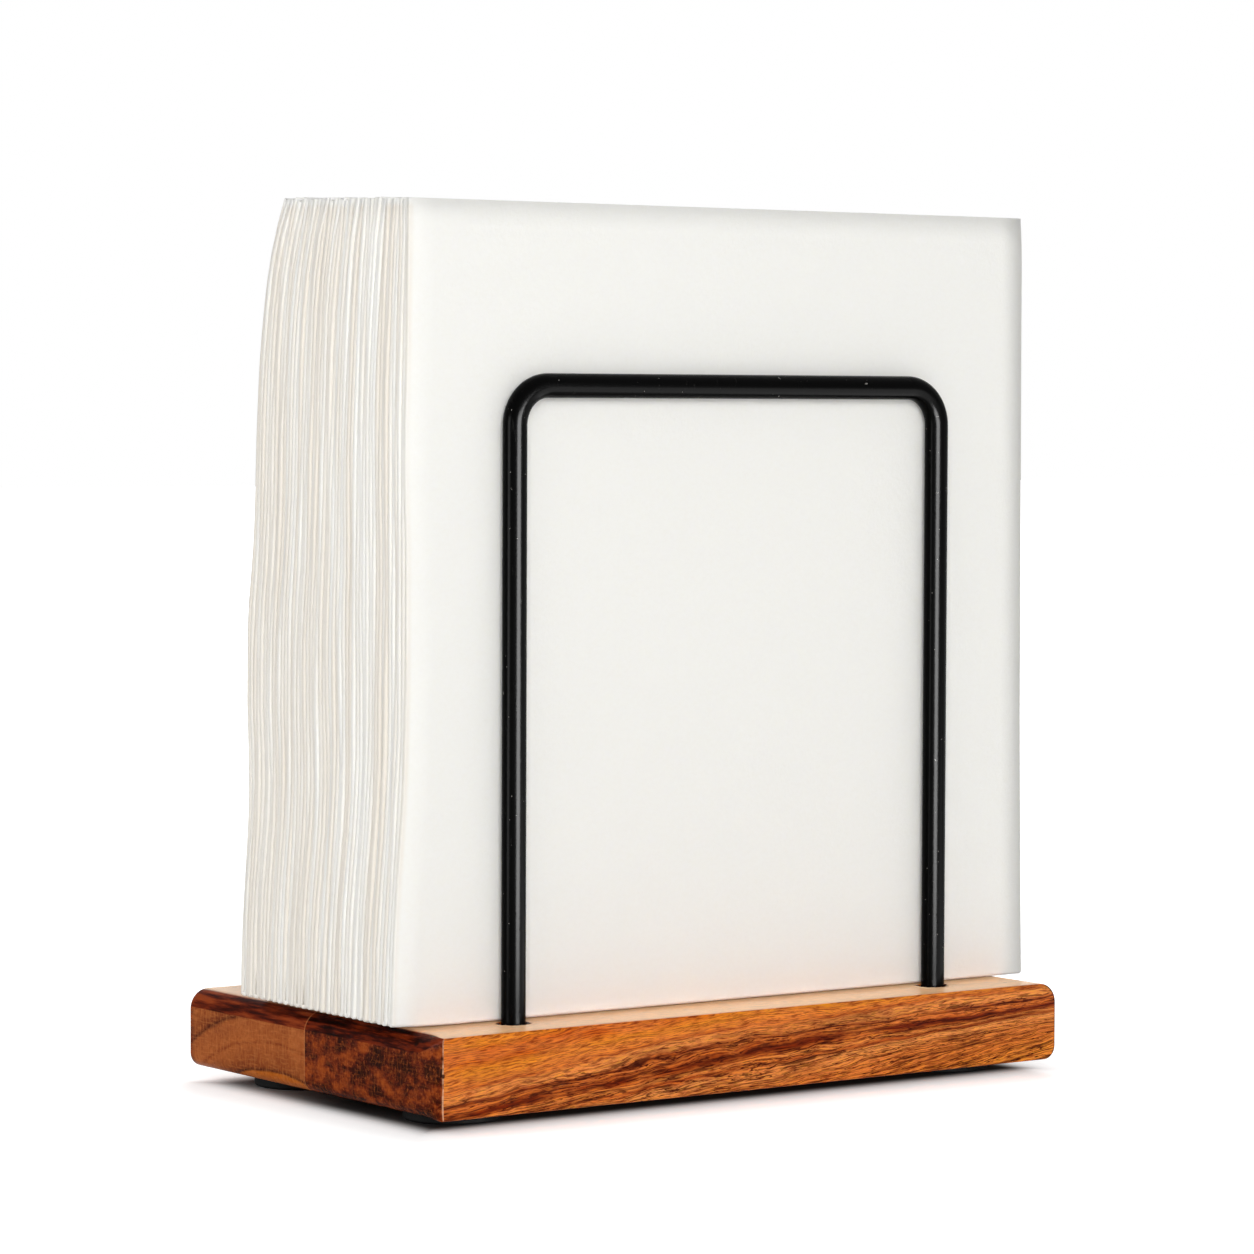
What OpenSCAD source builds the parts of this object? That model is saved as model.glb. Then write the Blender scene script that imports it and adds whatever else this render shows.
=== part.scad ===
// Napkin holder: a small wooden board made of two glued staves, two upright wire hoops,
// four rubber feet and a pack of paper napkins that stands between the hoops.
// Millimetres. X runs along the board, Y from front to back, Z up from the surface it stands on.

/* [Board] */
// Depth of the board, front to back
board_depth = 96; // [80:1:120]
// Thickness of the board
board_thickness = 16.5; // [14:0.5:24]
// Depth of the front stave, up to the glue line
front_stave_depth = 50; // [40:1:56]
// Radius of the rounded top edge of each end
end_top_radius = 4.2; // [2.5:0.1:6]
// Radius of the rounded bottom edge of each end
end_bottom_radius = 2.3; // [1:0.1:4]
// Radius of the long front and back edges
long_edge_radius = 0.9; // [0.4:0.1:2]
// Radius of the upright corners
corner_radius = 0.8; // [0.4:0.1:2]

/* [Hoops] */
// Diameter of the coated wire
wire_diameter = 5; // [4:0.5:6]
// Height of the bar's centre line above the board
hoop_height = 128.2; // [90:0.1:140]
// Distance between the centre lines of a hoop's legs
hoop_width = 109.4; // [80:0.1:120]
// Centre line radius of the bends
hoop_bend_radius = 8; // [5:0.5:20]
// Distance from the board's long side to the hoop's centre line
hoop_inset = 11.4; // [8:0.1:11.8]
// Depth of the blind holes for the legs
leg_hole_depth = 11; // [6:0.5:12]
// Gap for glue around a leg in its hole
leg_clearance = 0.1; // [0.05:0.05:0.2]
// Width of the worn edge at the mouth of each hole
hole_edge = 0.4; // [0.2:0.1:0.8]
// Length of the tapered tip of each leg
leg_tip = 0.6; // [0.3:0.1:1]

/* [Feet] */
// Diameter of each rubber foot
foot_diameter = 20; // [12:1:24]
// Height of each rubber foot
foot_height = 2.8; // [1.5:0.1:5]
// Width of the rounded lower edge of a foot
foot_edge = 0.6; // [0.3:0.1:1]
// Distance from the board's end to a foot's centre
foot_end_inset = 16; // [14:0.5:30]
// Distance from the board's long side to a foot's centre
foot_side_inset = 19.5; // [14:0.5:30]

/* [Napkins] */
// Width of a folded napkin, which the board's length follows
napkin_width = 161; // [140:1:200]
// How far the napkins stand out past each end of the board
napkin_overhang = 0.5; // [0:0.1:3]
// Height of a folded napkin
napkin_height = 165; // [145:1:180]
// Room that one napkin takes up at its closed fold
fold_thickness = 2.32; // [1.6:0.02:2.4]
// Gap between one napkin and the next
napkin_gap = 0.12; // [0.1:0.01:0.2]
// Gap between the two leaves of a napkin
leaf_gap = 0.2; // [0.1:0.01:0.3]
// Clearance between the pack and the front hoop
hoop_clearance = 0.4; // [0.35:0.05:1]
// Room left free behind the pack, at its closed folds, of which up to one napkin's share is rounded off
spare_room = 9; // [7:0.5:30]
// Clearance between the pack and the board
shelf_clearance = 0.3; // [0.3:0.05:1]
// How far the open edges of a napkin stand apart in height
edge_step = 0.7; // [0:0.1:1.2]
// How far the leaves wave back and forth inside the pack
leaf_wave = 0.5; // [0:0.1:0.8]

/* [Hidden] */
// Finish of the round surfaces
$fn = 48;
// One overrun serves every cut
overrun = 1;
board_length = napkin_width - 2 * napkin_overhang;
board_bottom = foot_height;
board_top = foot_height + board_thickness;
left_end = -board_length / 2;
front_side = -board_depth / 2;
glue_line = front_side + front_stave_depth;
wire_radius = wire_diameter / 2;
hoop_top = board_top + hoop_height;
leg_bottom = board_top - leg_hole_depth;
front_hoop_y = front_side + hoop_inset;
rear_hoop_y = -front_hoop_y;
pack_front = front_hoop_y + wire_radius + hoop_clearance;
pack_bottom = board_top + shelf_clearance;
// As many napkins as fit between the hoops with the spare room left
napkin_count = floor((rear_hoop_y - wire_radius - pack_front - spare_room) / fold_thickness);
pack_depth = napkin_count * fold_thickness;
// The pack's depth at each height, both as shares: full over the folds, swollen above them, thin at the top
depth_shares = [
    [0.00, 1.000], [0.12, 1.012], [0.25, 1.010], [0.32, 1.030], [0.38, 1.048], [0.48, 1.040],
    [0.57, 1.006], [0.65, 0.986], [0.73, 0.977], [0.82, 0.963], [0.90, 0.932], [0.955, 0.885],
    [1.00, 0.834]
];
// Steps in the round of a closed fold
fold_steps = 8;
// Share of the fold's radius at which the slit between the leaves ends
slit_share = 1.6;
// Waves of the leaves up the height of the pack, as whole and part turns
wave_turns = 1.35;

feet = ["foot_front_left", "foot_front_right", "foot_rear_left", "foot_rear_right"];
function napkin_name(i) = str("napkin_", i < 9 ? "0" : "", i + 1);
napkins = [for (i = [0 : napkin_count - 1]) napkin_name(i)];

front_wood = [0.66, 0.34, 0.14];
rear_wood = [0.72, 0.42, 0.20];
wire_coat = [0.05, 0.05, 0.055];
foot_rubber = [0.07, 0.07, 0.07];
napkin_paper = [0.95, 0.94, 0.92];

// A flat outline with its own radius at each corner: low left, low right, high right, high left
module soft_rectangle(size, radii) {
    places = [[0, 0], [size[0], 0], [size[0], size[1]], [0, size[1]]];
    turns = [[1, 1], [-1, 1], [-1, -1], [1, -1]];
    difference() {
        square(size);
        for (k = [0 : 3])
            if (radii[k] > 0)
                translate(places[k])
                    scale(radii[k])
                        mirror([turns[k][0] < 0 ? 1 : 0, 0, 0])
                            mirror([0, turns[k][1] < 0 ? 1 : 0, 0])
                                corner_waste();
    }
}

// What a round of radius one takes off a square corner, with a little over on the outside
module corner_waste() {
    difference() {
        translate([-1, -1])
            square(2);
        translate([1, 1])
            circle(1);
    }
}

// A board piece from one side to another, rounded at its ends and on its outer long side
module stave(front, back, radius_front, radius_back) {
    depth = back - front;
    up = [end_bottom_radius, end_bottom_radius, end_top_radius, end_top_radius];
    across = [radius_front, radius_back, radius_back, radius_front];
    corners = [
        radius_front > 0 ? corner_radius : 0, radius_front > 0 ? corner_radius : 0,
        radius_back > 0 ? corner_radius : 0, radius_back > 0 ? corner_radius : 0
    ];
    translate([left_end, front, board_bottom])
        intersection() {
            translate([0, depth, 0])
                rotate([90, 0, 0])
                    linear_extrude(depth)
                        soft_rectangle([board_length, board_thickness], up);
            rotate([90, 0, 90])
                linear_extrude(board_length)
                    soft_rectangle([depth, board_thickness], across);
            linear_extrude(board_thickness)
                soft_rectangle([board_length, depth], corners);
        }
}

// Blind holes for the two legs of a hoop, open at the top of the board
module leg_holes(y) {
    for (side = [-1, 1])
        translate([side * hoop_width / 2, y, 0]) {
            translate([0, 0, leg_bottom])
                cylinder(h = leg_hole_depth + overrun, r = wire_radius + leg_clearance);
            translate([0, 0, board_top - hole_edge])
                cylinder(
                    h = 2 * hole_edge,
                    r1 = wire_radius + leg_clearance,
                    r2 = wire_radius + leg_clearance + 2 * hole_edge
                );
        }
}

module front_stave() {
    color(front_wood)
        difference() {
            stave(front_side, glue_line, long_edge_radius, 0);
            leg_holes(front_hoop_y);
        }
}

module rear_stave() {
    color(rear_wood)
        difference() {
            stave(glue_line, -front_side, 0, long_edge_radius);
            leg_holes(rear_hoop_y);
        }
}

// One quarter bend of the wire, from an upright leg at the origin to a level bar
module wire_bend() {
    translate([hoop_bend_radius, 0, 0])
        rotate([90, 0, 0])
            rotate([0, 0, 90])
                rotate_extrude(angle = 90)
                    translate([hoop_bend_radius, 0])
                        circle(wire_radius);
}

// One hoop: two legs with tapered tips, two bends and the bar
module hoop(y) {
    straight = hoop_top - hoop_bend_radius;
    translate([0, y, 0])
        union() {
            for (side = [0, 1])
                mirror([side, 0, 0])
                    translate([-hoop_width / 2, 0, 0]) {
                        translate([0, 0, leg_bottom])
                            cylinder(h = leg_tip, r1 = wire_radius - leg_tip / 2, r2 = wire_radius);
                        translate([0, 0, leg_bottom + leg_tip])
                            cylinder(h = straight - leg_bottom - leg_tip, r = wire_radius);
                        translate([0, 0, straight])
                            wire_bend();
                    }
            translate([hoop_bend_radius - hoop_width / 2, 0, hoop_top])
                rotate([0, 90, 0])
                    cylinder(h = hoop_width - 2 * hoop_bend_radius, r = wire_radius);
        }
}

module front_hoop() {
    color(wire_coat)
        hoop(front_hoop_y);
}

module rear_hoop() {
    color(wire_coat)
        hoop(rear_hoop_y);
}

// A rubber disc with its lower edge cut to a slope
module foot(x, y) {
    radius = foot_diameter / 2;
    color(foot_rubber)
        translate([x, y, 0]) {
            cylinder(h = foot_edge, r1 = radius - foot_edge, r2 = radius);
            translate([0, 0, foot_edge])
                cylinder(h = foot_height - foot_edge, r = radius);
        }
}

foot_x = left_end + foot_end_inset;
foot_y = front_side + foot_side_inset;

// The pack's depth where a share of the height is reached
function depth_at(share) = pack_depth * lookup(share, depth_shares);
// How far a leaf waves out of line, less towards the outside of the pack and at the folds
function wave_at(k, share) =
    leaf_wave * sin(180 * k / napkin_count) * sin(180 * share)
    * sin(360 * wave_turns * share + 360 * k / napkin_count);
// The line between two napkins, or the outside of the first or last one
function border(k, share) = pack_front + depth_at(share) * k / napkin_count + wave_at(k, share);
// Front and back of napkin i at a share of the height
function front_of(i, share) = border(i, share) + (i > 0 ? napkin_gap / 2 : 0);
function back_of(i, share) = border(i + 1, share) - napkin_gap / 2;
function middle_of(i, share) = (front_of(i, share) + back_of(i, share)) / 2;
// How far the front leaf of napkin i ends below the full height, the back leaf by the rest of the step
function step_of(i) = edge_step * (1 + sin(360 * 7 * i / napkin_count + 40)) / 2;

// Outline of napkin i from the side: two leaves that meet in a round closed fold below
function napkin_outline(i) =
    let (
        half = (back_of(i, 0) - front_of(i, 0)) / 2,
        round_share = half / napkin_height,
        slit_end = slit_share * round_share,
        levels = [for (row = depth_shares) if (row[0] > slit_end && row[0] < 1) row[0]],
        count = len(levels),
        front_top = 1 - step_of(i) / napkin_height,
        back_top = 1 - (edge_step - step_of(i)) / napkin_height,
        fold = [
            for (k = [0 : fold_steps])
                let (turn = 180 * k / fold_steps)
                    [middle_of(i, 0) + half * cos(turn), half - half * sin(turn)]
        ],
        front_outside = [for (s = levels) [front_of(i, s), s * napkin_height]],
        front_inside = [
            for (k = [1 : count])
                let (s = levels[count - k])
                    [middle_of(i, s) - leaf_gap / 2, s * napkin_height]
        ],
        back_inside = [for (s = levels) [middle_of(i, s) + leaf_gap / 2, s * napkin_height]],
        back_outside = [
            for (k = [1 : count])
                let (s = levels[count - k])
                    [back_of(i, s), s * napkin_height]
        ]
    )
    concat(
        fold,
        front_outside,
        [
            [front_of(i, front_top), front_top * napkin_height],
            [middle_of(i, front_top) - leaf_gap / 2, front_top * napkin_height]
        ],
        front_inside,
        [
            [middle_of(i, slit_end) - leaf_gap / 2, slit_end * napkin_height],
            [middle_of(i, slit_end) + leaf_gap / 2, slit_end * napkin_height]
        ],
        back_inside,
        [
            [middle_of(i, back_top) + leaf_gap / 2, back_top * napkin_height],
            [back_of(i, back_top), back_top * napkin_height]
        ],
        back_outside
    );

module napkin(i) {
    color(napkin_paper)
        translate([-napkin_width / 2, 0, pack_bottom])
            rotate([90, 0, 90])
                linear_extrude(napkin_width)
                    polygon(napkin_outline(i));
}

front_stave();
rear_stave();
front_hoop();
rear_hoop();
foot(foot_x, foot_y);  // foot_front_left
foot(-foot_x, foot_y);  // foot_front_right
foot(foot_x, -foot_y);  // foot_rear_left
foot(-foot_x, -foot_y);  // foot_rear_right
for (i = [0 : napkin_count - 1])
    napkin(i);
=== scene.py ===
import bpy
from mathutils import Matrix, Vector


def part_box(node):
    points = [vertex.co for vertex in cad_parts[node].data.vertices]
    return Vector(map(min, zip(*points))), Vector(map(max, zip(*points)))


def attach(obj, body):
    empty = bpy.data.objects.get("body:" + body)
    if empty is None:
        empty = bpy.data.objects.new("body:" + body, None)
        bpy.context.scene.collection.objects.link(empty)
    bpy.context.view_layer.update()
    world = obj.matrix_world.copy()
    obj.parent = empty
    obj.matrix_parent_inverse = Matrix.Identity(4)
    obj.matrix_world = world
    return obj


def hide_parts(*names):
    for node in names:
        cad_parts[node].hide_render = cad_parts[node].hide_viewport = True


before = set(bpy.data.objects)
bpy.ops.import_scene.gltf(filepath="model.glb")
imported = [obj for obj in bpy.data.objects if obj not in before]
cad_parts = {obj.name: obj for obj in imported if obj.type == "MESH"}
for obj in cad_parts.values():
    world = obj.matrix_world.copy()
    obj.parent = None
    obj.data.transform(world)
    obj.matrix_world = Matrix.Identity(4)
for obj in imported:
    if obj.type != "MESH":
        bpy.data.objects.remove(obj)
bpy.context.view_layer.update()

import math
import random

import bmesh
import bpy
from bpy.props import FloatProperty, FloatVectorProperty, IntProperty, PointerProperty
from mathutils import Matrix, Vector, noise

bl_info = {
    "name": "Napkin holder",
    "version": (1, 0),
    "blender": (4, 5, 0),
    "location": "View3D > Sidebar > Napkin holder",
    "description": "Builds a wooden napkin holder with wire hoops and a pack of folded napkins",
    "category": "Add Mesh",
}

MM = 0.001
HOLDER, PACK = "holder", "napkin_pack"
FEET = [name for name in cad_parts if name.startswith("foot_")]
NAPKINS = sorted(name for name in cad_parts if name.startswith("napkin_"))


# Properties


def linear(red, green, blue):
    """A screen colour from 0 to 255 as the linear colour that shaders use."""
    shares = [channel / 255 for channel in (red, green, blue)]
    return tuple(
        share / 12.92 if share <= 0.04045 else ((share + 0.055) / 1.055) ** 2.4 for share in shares
    )


def length(name, description, millimetres, low=0.0, high=1000.0):
    return FloatProperty(
        name=name, description=description, default=millimetres * MM,
        min=low * MM, max=high * MM, precision=5, unit="LENGTH",
    )


def colour(name, description, red, green, blue):
    return FloatVectorProperty(
        name=name, description=description, default=linear(red, green, blue),
        min=0.0, max=1.0, size=3, subtype="COLOR",
    )


def whole(name, description, default, low, high):
    return IntProperty(name=name, description=description, default=default, min=low, max=high)


def ratio(name, description, default, low=0.0):
    return FloatProperty(
        name=name, description=description, default=default, min=low, max=1.0, subtype="FACTOR",
    )


def angle(name, description, degrees):
    return FloatProperty(
        name=name, description=description, default=math.radians(degrees), unit="ROTATION", subtype="ANGLE",
    )


def watts(name, description, default):
    return FloatProperty(name=name, description=description, default=default, min=0.0, unit="POWER")


class NAPKINHOLDER_PG_board(bpy.types.PropertyGroup):
    end_top_radius: length("End top radius", "Radius of the rounded top edge of each end", 4.2)
    end_bottom_radius: length("End bottom radius", "Radius of the rounded bottom edge of each end", 2.9)
    long_edge_radius: length("Long edge radius", "Radius of the long front and back edges", 0.7)
    glue_edge: length("Glue edge", "Width of the eased edge along the glue line", 0.12)
    near_radius: length("Near corner radius", "Top radius of the end at the front left corner", 1.1)
    near_reach: length("Near corner reach", "How far back the front left corner is hand shaped", 9)
    roll_depth: length("Corner roll", "How far the end rolls in at the front left corner", 0.7)
    cell: length("Cell", "Spacing of the mesh lines on the staves", 2.5)
    hole_clearance: length("Hole clearance", "Gap between a leg and its blind hole", 0.1)
    hole_edge: length("Hole edge", "Width of the worn edge at the mouth of each hole", 0.45)
    hole_chips: length("Hole chips", "Unevenness of the worn edge at the mouth of each hole", 0.3)
    front_wood: colour("Front stave", "Main colour of the front stave", 230, 128, 62)
    rear_wood: colour("Rear stave", "Main colour of the rear stave", 172, 92, 44)
    dark_grain: colour("Dark grain", "Colour of the darkest streaks and pores", 58, 18, 8)


class NAPKINHOLDER_PG_hoops(bpy.types.PropertyGroup):
    bend_radius: length("Bend radius", "Centre line radius of the bends", 8)
    leg_tip: length("Leg tip", "Length of the tapered tip of each leg", 0.6)
    sides: whole("Sides", "Sides round the wire", 32, 8, 64)
    bend_steps: whole("Bend steps", "Rings along each bend", 20, 4, 64)
    coat: colour("Coat", "Colour of the powder coat", 2, 2, 2)


class NAPKINHOLDER_PG_feet(bpy.types.PropertyGroup):
    edge: length("Edge", "Radius of the rounded lower edge", 0.6)
    top_edge: length("Top edge", "Width of the bevelled upper edge", 0.25)
    sides: whole("Sides", "Sides round a foot", 64, 12, 128)
    rubber: colour("Rubber", "Colour of the rubber", 9, 9, 9)


class NAPKINHOLDER_PG_napkins(bpy.types.PropertyGroup):
    flat_width: length("Flat width", "Width of a napkin before it is folded", 322)
    flat_length: length("Flat length", "Length of a napkin before it is folded", 330)
    ply: length("Ply", "Thickness of one layer of the paper", 0.58)
    ragged: length("Ragged", "How far the folded leaves stand out or back at the left side", 0.12)
    pressed: ratio("Pressed", "Roundness of the pressed folds at the left side", 0.26)
    foot_depth: ratio("Foot depth", "Depth of the fold at the foot, as a share of a round one", 0.65, 0.2)
    wander: length("Wander", "How far a folded edge wanders along its height", 0.35)
    uneven: length("Uneven", "How far apart the open edges at the right end", 0.8)
    sway: length("Sway", "How far the leaves sway together along their height", 0.3)
    top_step: length("Top step", "Most that an open edge ends below the top", 0.35)
    rear_rise: length("Rear rise", "How much taller the rear napkins stand than the front ones", 1.3)
    corner_lift: length("Corner lift", "How far the folded corner at the left is off the board", 1.0)
    corner_reach: length("Corner reach", "How far from the corner that lift fades out", 14)
    paper: colour("Paper", "Colour of the paper", 248, 247, 242)
    # The shaded paper colour is painted shade on the folds at the left side, with their duller tone
    shaded_paper: colour("Shaded paper", "Colour of the duller folds", 238, 232, 222)


class NAPKINHOLDER_PG_stage(bpy.types.PropertyGroup):
    camera_place: FloatVectorProperty(
        name="Camera place", description="Where the camera stands", size=3,
        default=(-0.58832, -0.80882, 0.14408), precision=5, subtype="TRANSLATION", unit="LENGTH",
    )
    camera_turn: angle("Camera turn", "Turn of the view from the front towards the right", 36.0218)
    camera_drop: angle("Camera drop", "How far the view looks down", 2.7359)
    camera_roll: angle("Camera roll", "Roll of the camera about its view", 0.2245)
    lens: FloatProperty(
        name="Lens", description="Focal length on a sensor 36 mm wide", default=134.597, unit="CAMERA",
    )
    room_light: FloatProperty(
        name="Room light", description="Strength of the even light all round", default=0.34, min=0.0,
    )
    front_light: watts("Front light", "Power of the softbox in front", 14.4)
    side_light: watts("Side light", "Power of the softbox on the left", 2.9)
    back_light: watts("Back light", "Power of the softbox behind on the right", 12.0)
    gloss_light: watts("Gloss light", "Power of the near softbox that only gloss shows", 8.0)
    flank_light: watts("Flank light", "Power of the panel on the left that only gloss shows", 5.6)
    table_light: watts("Table light", "Power of the low panel that only gloss shows", 3.6)
    floor_lift: FloatProperty(
        name="Floor lift", description="Brightness that the camera sees on the floor above its shade",
        default=0.45, min=0.0,
    )
    # The deep shade under the board is painted into the floor's colour
    shade_depth: length("Shade depth", "How far under the front of the board the deep shade starts", 10.5)
    shade_ends: length("Shade at the ends", "How much nearer the ends of the board the shade starts", 5.6)
    lift_reach: length("Lift reach", "How far from the board the floor is at its whitest", 14)


class NAPKINHOLDER_PG_settings(bpy.types.PropertyGroup):
    board: PointerProperty(type=NAPKINHOLDER_PG_board, name="Board", description="Board settings")
    hoops: PointerProperty(type=NAPKINHOLDER_PG_hoops, name="Hoops", description="Hoop settings")
    feet: PointerProperty(type=NAPKINHOLDER_PG_feet, name="Feet", description="Foot settings")
    napkins: PointerProperty(type=NAPKINHOLDER_PG_napkins, name="Napkins", description="Napkin settings")
    stage: PointerProperty(type=NAPKINHOLDER_PG_stage, name="Stage", description="Stage settings")


# Meshes


def add_object(name, data):
    thing = bpy.data.objects.new(name, data)
    bpy.context.scene.collection.objects.link(thing)
    return thing


def link_mesh(bm, name, sharp=35):
    """Turns a bmesh into an object, smooth but for edges sharper than so many degrees."""
    limit = math.radians(sharp)
    for face in bm.faces:
        face.smooth = True
    for edge in bm.edges:
        edge.smooth = edge.calc_face_angle(0.0) < limit
    mesh = bpy.data.meshes.new(name)
    bm.to_mesh(mesh)
    bm.free()
    return add_object(name, mesh)


def settle(piece, finish, body, node):
    """Gives a finished piece its material and its body, and hides the CAD node that it stands for."""
    piece.data.materials.append(finish)
    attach(piece, body)
    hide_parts(node)


def edges_of(verts):
    """The edges at some vertices, each once and in the same order every run."""
    return list(dict.fromkeys(edge for vert in verts for edge in vert.link_edges))


def grow(bm, edges, move=(0, 0, 0), factor=1.0):
    """Extrudes a ring of edges, moves the new ring, scales it in its plane and returns its edges."""
    made = bmesh.ops.extrude_edge_only(bm, edges=edges)["geom"]
    ring = [item for item in made if isinstance(item, bmesh.types.BMVert)]
    bmesh.ops.translate(bm, vec=move, verts=ring)
    if factor != 1.0:
        middle = sum((vert.co for vert in ring), Vector()) / len(ring)
        bmesh.ops.scale(bm, vec=(factor, factor, factor), space=Matrix.Translation(-middle), verts=ring)
    return [item for item in made if isinstance(item, bmesh.types.BMEdge)
            and all(vert in ring for vert in item.verts)]


def close(bm):
    """Fills the open ends and turns the faces outwards."""
    bmesh.ops.holes_fill(bm, edges=[edge for edge in bm.edges if edge.is_boundary], sides=0)
    bmesh.ops.recalc_face_normals(bm, faces=bm.faces)


def stack_rings(bm, x, y, rings, sides):
    """An upright round form through rings of height and radius."""
    height, radius = rings[0]
    ring = bmesh.ops.create_circle(
        bm, cap_ends=False, radius=radius, segments=sides, matrix=Matrix.Translation((x, y, height)),
    )["verts"]
    edges = edges_of(ring)
    for above, wider in rings[1:]:
        edges = grow(bm, edges, (0, 0, above - height), wider / radius)
        height, radius = above, wider
    close(bm)


def ease(value):
    """A smooth step from 0 to 1."""
    value = min(max(value, 0.0), 1.0)
    return value * value * (3 - 2 * value)


def smooth_curve(points):
    """A function through points of place and value, with no kinks, that runs straight on past its ends."""
    places, values = zip(*points)
    last = len(points) - 1

    def slope(k):
        a, b = max(k - 1, 0), min(k + 1, last)
        return (values[b] - values[a]) / (places[b] - places[a])

    def at(place):
        if place <= places[0]:
            return values[0] + (place - places[0]) * slope(0)
        if place >= places[-1]:
            return values[-1] + (place - places[-1]) * slope(last)
        k = max(i for i in range(last) if places[i] <= place)
        gap = places[k + 1] - places[k]
        t = (place - places[k]) / gap
        return (
            (2 * t ** 3 - 3 * t ** 2 + 1) * values[k] + (t ** 3 - 2 * t ** 2 + t) * gap * slope(k)
            + (3 * t ** 2 - 2 * t ** 3) * values[k + 1] + (t ** 3 - t ** 2) * gap * slope(k + 1)
        )

    return at


# Board


def board_box():
    front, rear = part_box("front_stave"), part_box("rear_stave")
    return front[0], rear[1]


def cut_cells(bm, low, high, cell):
    """Cuts the faces into cells, so that an edge can wear and roll unevenly."""
    for axis, step in ((0, cell), (1, cell), (2, cell / 2)):
        count = round((high[axis] - low[axis]) / step)
        for k in range(1, count):
            place, normal = low.copy(), Vector((0, 0, 0))
            place[axis] += (high[axis] - low[axis]) * k / count
            normal[axis] = 1
            bmesh.ops.bisect_plane(
                bm, geom=bm.verts[:] + bm.edges[:] + bm.faces[:], dist=1e-7,
                plane_co=place, plane_no=normal,
            )


def stave_outline(low, high, sizes, inset):
    """Points round a stave in x and z, drawn in by an inset, with rounded ends."""
    top, bottom = sizes.end_top_radius, sizes.end_bottom_radius
    corners = (
        (high.x - top, high.z - top, top, 12), (low.x + top, high.z - top, top, 12),
        (low.x + bottom, low.z + bottom, bottom, 8), (high.x - bottom, low.z + bottom, bottom, 8),
    )
    points = []
    for quarter, (x, z, radius, steps) in enumerate(corners):
        for k in range(steps + 1):
            turn = math.pi / 2 * (quarter + k / steps)
            points.append((x + (radius - inset) * math.cos(turn), z + (radius - inset) * math.sin(turn)))
    return points


def round_stave(low, high, outer, sizes):
    """A stave with rounded ends, its outer long edges eased and its glued edges crisp."""
    inner, inward = (high.y, 1) if outer == low.y else (low.y, -1)
    rim, glue, steps = sizes.long_edge_radius, sizes.glue_edge, 5
    rings = []
    for k in range(steps + 1):
        turn = math.pi / 2 * k / steps
        rings.append((outer + inward * rim * (1 - math.cos(turn)), rim * (1 - math.sin(turn))))
    rings += [(inner - inward * glue, 0.0), (inner, glue)]
    bm = bmesh.new()
    loops = []
    for y, inset in rings:
        points = stave_outline(low, high, sizes, inset)
        verts = bmesh.ops.create_circle(bm, cap_ends=False, radius=1, segments=len(points))["verts"]
        for vert, (x, z) in zip(verts, points):
            vert.co = (x, y, z)
        loops.append(edges_of(verts))
    for first, second in zip(loops, loops[1:]):
        bmesh.ops.bridge_loops(bm, edges=first + second)
    close(bm)
    cut_cells(bm, low, high, sizes.cell)
    return bm


def tighten(distance, radius, tight):
    """Draws a rounded edge together from one radius to a tighter one."""
    if distance < radius:
        return distance * tight / radius
    if distance < 2 * radius:
        return tight + (distance - radius) * (2 * radius - tight) / radius
    return distance


def shape_near_corner(bm, low, high, sizes):
    """The front left corner is sanded by hand: tighter above, rolled in and nicked along its edge."""
    radius = sizes.end_top_radius
    upper_reach, lower_reach, nick_reach = 2.6 * MM, 7.6 * MM, 1 * MM
    widest_down, narrowing, roll_width, nick_scale = 9 * MM, 6 * MM, 4 * MM, 420
    for vert in bm.verts:
        along, back, down = vert.co.x - low.x, vert.co.y - low.y, high.z - vert.co.z
        if along > 3 * radius or back > sizes.near_reach:
            continue
        share = ease(1 - back / sizes.near_reach)
        inward = share * ease(1.5 - along / (2 * radius))
        vert.co.x = low.x + tighten(along, radius, radius + (sizes.near_radius - radius) * share)
        vert.co.z = high.z - tighten(down, radius, radius + (sizes.near_radius - radius) * inward)
        reach = upper_reach + (lower_reach - upper_reach) * ease((widest_down - down) / narrowing)
        roll = max(0.0, 1 - back / reach) ** 2 * max(0.0, 1 - along / roll_width)
        vert.co.x += sizes.roll_depth * roll
        if along < nick_reach and back < nick_reach:
            nick = max(0.0, noise.noise(Vector((3.1, 7.7, vert.co.z * nick_scale))) - 0.1)
            vert.co += Vector((0.2, 0.2, 0)) * nick * MM


def cut_holes(piece, places, sizes, wire_radius, bottom, top):
    """Cuts the blind leg holes, with mouths a little chipped."""
    bm = bmesh.new()
    wide = wire_radius + sizes.hole_clearance
    over, mouth_depth, chip_scale = 1 * MM, 0.1 * MM, 900
    for x, y in places:
        stack_rings(bm, x, y, [
            (bottom, wide), (top - sizes.hole_edge, wide), (top, wide + sizes.hole_edge),
            (top + over, wide + sizes.hole_edge + over),
        ], sides=48)
    for vert in bm.verts:
        if vert.co.z > top - mouth_depth:
            x, y = min(places, key=lambda place: (vert.co.x - place[0]) ** 2 + (vert.co.y - place[1]) ** 2)
            out = Vector((vert.co.x - x, vert.co.y - y, 0)).normalized()
            vert.co += out * noise.noise(vert.co * chip_scale) * sizes.hole_chips
    cutter = link_mesh(bm, "hole_cutter")
    cut = piece.modifiers.new("holes", "BOOLEAN")
    cut.operation, cut.solver, cut.object = "DIFFERENCE", "EXACT", cutter
    bpy.context.view_layer.update()
    made = bpy.data.meshes.new_from_object(piece.evaluated_get(bpy.context.evaluated_depsgraph_get()))
    piece.modifiers.clear()
    piece.data = made
    bpy.data.objects.remove(cutter)


def leg_places(node):
    """The two points where a hoop's legs meet the board."""
    low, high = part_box(node)
    radius = (high.y - low.y) / 2
    middle = (low.y + high.y) / 2
    return [(low.x + radius, middle), (high.x - radius, middle)], radius


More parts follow.
